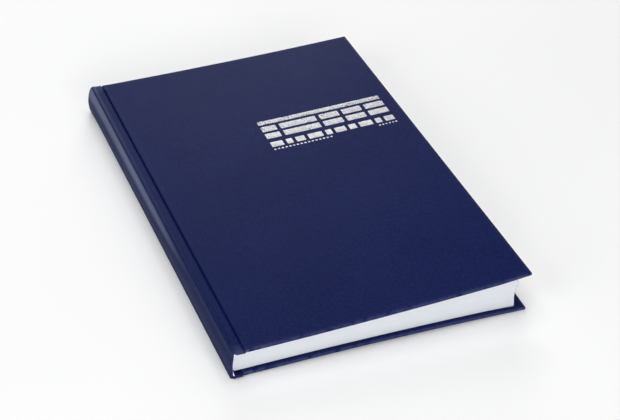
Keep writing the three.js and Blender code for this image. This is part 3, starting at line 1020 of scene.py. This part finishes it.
sections = [section_piece(index) for index in range(SECTIONS)]
print(len(sections), "sections,", sum(len(s.data.polygons) for s in sections), "faces")

# %% [markdown]
# ## Endpapers
# An endpaper is a folded sheet: one half is pasted to the inside of the cover, the other half is a free
# leaf. The pasted half shows the step where the cloth's turn-in ends. In front, the strip between the
# two halves crosses the hinge, so it is a piece of its own.
# %% Pastedowns, flyleaves and the hinge strip
PASTED_FROM = BOARD_FROM + 0.6
PASTED_MARGIN = 3.4
PASTED_FORE_EDGE = 7.6
PASTED_GAP = 0.1
PASTED_SINK = 0.03
PASTED_THINNED = 0.07
FREE_LEAF = ENDPAPER - 0.06
STRIP = 0.12
STRIP_FROM = 3.4
STRIP_TO = 13.0
STRIP_CLEAR = 0.06
STRIP_SINK = 0.13


def turned_in_step(x, y):
    """How far the pasted sheet sinks where no cloth lies under it: x and y from the board's middle."""
    inside = np.minimum(HALF_BOARD - np.abs(x), HALF_HEIGHT - np.abs(y)) - TURN_IN
    return 0.2 * ramp(inside, -0.2, 1.6)


def fine_lines(low, high, count, around):
    """Evenly spaced numbers with extra ones close to the places in around."""
    extra = [a + d for a in around for d in (-0.4, 0.0, 0.3, 0.7, 1.1, 1.6)]
    return np.unique(np.clip(np.concatenate([spread(low, high, count), extra]), low, high))


def pasted_sheet(name, to_points, node, body):
    """An endpaper's pasted half, placed by to_points(along, y, height) like the board it lies on."""
    x = fine_lines(PASTED_FROM - BOARD_MIDDLE, HALF_BOARD - PASTED_FORE_EDGE, 40,
                   [HALF_BOARD - TURN_IN - 1.0])
    y = fine_lines(-HALF_HEIGHT + PASTED_MARGIN, HALF_HEIGHT - PASTED_MARGIN, 56,
                   [TURN_IN - HALF_HEIGHT, HALF_HEIGHT - TURN_IN - 1.0])[:, None]
    level = -SKIN - PASTED_GAP + turned_in_step(x[None], y)
    along = np.broadcast_to(x + BOARD_MIDDLE - HINGE_U, level.shape)
    outer = to_points(along, y, pressed(level + PASTED_GAP - PASTED_SINK, x, y))
    inner = to_points(along, y, pressed(level - ENDPAPER + PASTED_THINNED, x, y))
    return fitted(sheet(name, outer, inner, endpaper_sheet), body, node)


def free_leaf(name, line, lift, node, body):
    """A flyleaf on a line of the fan: a thin sheet with a very slight wave."""
    fold = fold_u(BLOCK_BOTTOM + SECTION * min(line + 0.5, SECTIONS - 0.5))
    u = spread(fold + SECTION / 2, fore_edge_u(min(line, SECTIONS - 1)), 30)[None]
    y = LEAF_HALF_HEIGHT * spread(-1, 1, 41)[:, None]
    wave = 0.006 * np.sin(u / 23.0 + y / 37.0)
    base = leaf_line(line, u) + lift + wave * ramp(u, 10.0, 30.0)
    made = sheet(name, in_frame(u, y, base + FREE_LEAF), in_frame(u, y, base), endpaper_sheet)
    return fitted(made, body, node)


def hinge_strip():
    """The endpaper's fold line in front: from the shoulder, under the groove's cloth, to the board,
    where its end sinks into the pasted half."""
    u = mix(STRIP_FROM, STRIP_TO, spread(0, 1, 60)[None])
    y = (LEAF_HALF_HEIGHT - 0.2) * spread(-1, 1, 41)[:, None]
    low = leaf_line(SECTIONS, u) + ENDPAPER + STRIP_CLEAR
    board = (BOOK_THICKNESS + (u - HINGE_U) * math.tan(SPLAY) - SKIN - PASTED_GAP - ENDPAPER
             - FRONT_SAG * bow(u))
    z = mix(low, board, ramp(u, 4.5, 4.1)) + STRIP_SINK * ramp(u, 11.0, 1.6)
    strip = sheet("front_endpaper_hinge", in_frame(u, y, z + STRIP), in_frame(u, y, z), endpaper_sheet)
    bent(strip, (8.6, 18.0), (10.9, 18.0))
    return strip


tell(pasted_sheet("front_pastedown_sheet", on_front_cover, "front_pastedown", "front_cover"))
tell(pasted_sheet("back_pastedown_sheet", on_back_cover, "back_pastedown", "back_cover"))
tell(free_leaf("front_free_endpaper", SECTIONS, 0.0, "front_flyleaf", "upper_leaves"))
tell(free_leaf("back_free_endpaper", 0, -ENDPAPER, "back_flyleaf", "back_cover"))
tell(hinge_strip())

# %% [markdown]
# ## Gauze and end bands
# A strip of gauze is glued over the folds and holds the sections together. At head and tail a
# narrow white cotton band with a rolled rim covers the ends of the folds. When the book opens in
# the middle, gauze and bands bend there, so they cross the joint between the halves of the block.
# %% The gauze lining and the end bands
LINING_DEPTH = 0.5
LINING = 0.3
OPENS_AT_U = 1.75
OPENS_AT_Z = 10.6
BAND_OUT = 0.42
BAND_RADIUS = 0.36
BAND_RISE = 0.55
BAND_HALF_WIDTH = 0.7


def across_the_middle(made):
    """Bakes the transform of a piece that crosses where the block opens between its middle sections."""
    bent(made,
         (OPENS_AT_U, OPENS_AT_Z - 0.7), (OPENS_AT_U, OPENS_AT_Z + 0.7))
    return made


def gauze_lining():
    """An arc just outside the folds, from the lowest section to the highest."""
    low, high = (BLOCK_BOTTOM + line * SECTION for line in (0.5, SECTIONS - 0.5))
    z = np.unique(np.append(spread(low, high, 33), OPENS_AT_Z + spread(-1.0, 1.0, 21)))[None]
    y = (LEAF_HALF_HEIGHT - 9.0) * spread(-1, 1, 31)[:, None]
    centre = BOOK_THICKNESS / 2
    share = (z - centre) / (SPINE_RADIUS - FOLD_AT)
    grids = []
    for depth in (LINING_DEPTH, LINING_DEPTH - LINING):
        radius = SPINE_RADIUS - FOLD_AT + depth
        u = SPINE_RADIUS - radius * np.sqrt(1 - share ** 2)
        grids.append(in_frame(u, y, centre + radius * share))
    lining = across_the_middle(sheet("gauze_over_the_folds", *grids, gauze_weave))
    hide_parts("spine_lining")
    return lining


def end_band(name, way):
    """The rolled rim of a band: an oval carried along the backs of the folds, tapered to its tips."""
    z = spread(4.4, BOOK_THICKNESS - 4.3, 61)[:, None]
    turn = spread(0, 2 * math.pi, 17)[:-1]
    full = np.sin(math.pi * spread(0.06, 0.94, 61))[:, None] ** 0.35
    u = fold_u(z) - BAND_OUT + BAND_RADIUS * full * np.cos(turn)
    y = way * (LEAF_HALF_HEIGHT + BAND_RISE + BAND_HALF_WIDTH * full * np.sin(turn))
    return across_the_middle(piece(name, *pile_of_loops(in_frame(u, y, z)), [cotton_band]))


tell(gauze_lining())
for name, way in (("tail_band", -1.0), ("head_band", 1.0)):
    tell(end_band(name, way))

# %% [markdown]
# ## The silver motif
# The cover carries a foil design near its head. It is kept generic here: a ruled table, the most
# ordinary sign for a ledger, with a heading band, two rows of cells, a row of entries and, under
# its two ends, a dotted rule. Each bar is a tiny plate with round corners, pressed a little into
# the cloth. Wide bars get a high mottle value, because a wide stamp loses more foil.
# %% The foil table
FOIL_SUNK = 0.05
FOIL_SHOULDER = 0.023
FOIL_RISE = 0.035
FOIL_RIM = 0.12
FOIL_CORNER = 0.45
FOIL_LEFT = 88.6
FOIL_RIGHT = 182.4
CELLS = [1.2, 3, 1.6, 1.6, 1.6]
ENTRIES = [2, 1, 1.5, 2.4, 1, 1.8, 1.2, 2.2, 1, 1.6]


def row_of_bars(widths, gap, base, top, mottle, left=FOIL_LEFT, right=FOIL_RIGHT):
    """Bars side by side between left and right, as (left, right, base, top, mottle); widths are
    shares of what the gaps leave of the row."""
    total = right - left - gap * (len(widths) - 1)
    sizes = np.array(widths, float) * total / sum(widths)
    starts = left + np.concatenate([[0.0], np.cumsum(sizes + gap)[:-1]])
    return [(a, a + size, base, top, mottle) for a, size in zip(starts, sizes)]


bars = (row_of_bars([1], 0.0, 62.4, 66.6, 1.0)
        + row_of_bars(CELLS, 2.8, 54.0, 59.9, 0.9)
        + row_of_bars(CELLS, 2.8, 45.5, 51.4, 0.8)
        + row_of_bars(ENTRIES, 2.6, 35.4, 41.0, 0.1)
        + row_of_bars([1] * 16, 1.2, 31.8, 33.1, 0.0, right=132.4)
        + row_of_bars([1] * 6, 1.2, 31.8, 33.1, 0.0, left=168.3))


def foil_plate(left, right, base, top):
    """A pile of three loops and two fans: sunk side, rounded rim and face, on the cover's surface."""
    rim = np.array([[0.0], [0.0], [FOIL_RIM]])
    half = (right - left) / 2 - rim
    tall = (top - base) / 2 - rim
    x, y = rounded_loop(half, tall, np.minimum(FOIL_CORNER, tall * 0.6))
    x, y = x + (left + right) / 2, y + (base + top) / 2
    rise = np.array([[-FOIL_SUNK], [FOIL_SHOULDER], [FOIL_RISE]])
    return pile_of_loops(on_front_cover(x, y, board_ripple(x + HINGE_U - BOARD_MIDDLE, y) + rise))


def foil_table():
    """All plates as one mesh, numbered one after the other."""
    points, quads, fans, mottle, count = [], [], [], [], 0
    for *outline, amount in bars:
        plate, (sides, ends) = foil_plate(*outline)
        points.append(plate)
        quads.append(sides + count)
        fans.append(ends + count)
        mottle.append(np.full(len(plate), amount))
        count += len(plate)
    groups = [np.concatenate(quads), np.concatenate(fans)]
    made = piece("silver_foil_table", np.concatenate(points), groups, [silver_foil],
                 {"mottle": np.concatenate(mottle)})
    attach(made, "front_cover")
    return made


tell(foil_table())
print("it has", len(bars), "bars")

# %% [markdown]
# ## Parts kept from the frame
# The spine card and the stitches already have the right shape, so they stay, and only get their
# finish. The stitches are seen when the book lies open.
# %% Finishes on the kept parts
def refinish(word, finish):
    """Puts a finish on every shown frame node whose name holds the word, and names them."""
    done = [name for name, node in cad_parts.items() if word in name and not node.hide_render]
    for name in done:
        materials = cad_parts[name].data.materials
        materials.clear()
        materials.append(finish)
    return done


print("card finish on", refinish("card", lined_card))
print("thread finish on", refinish("stitch", linen_thread))
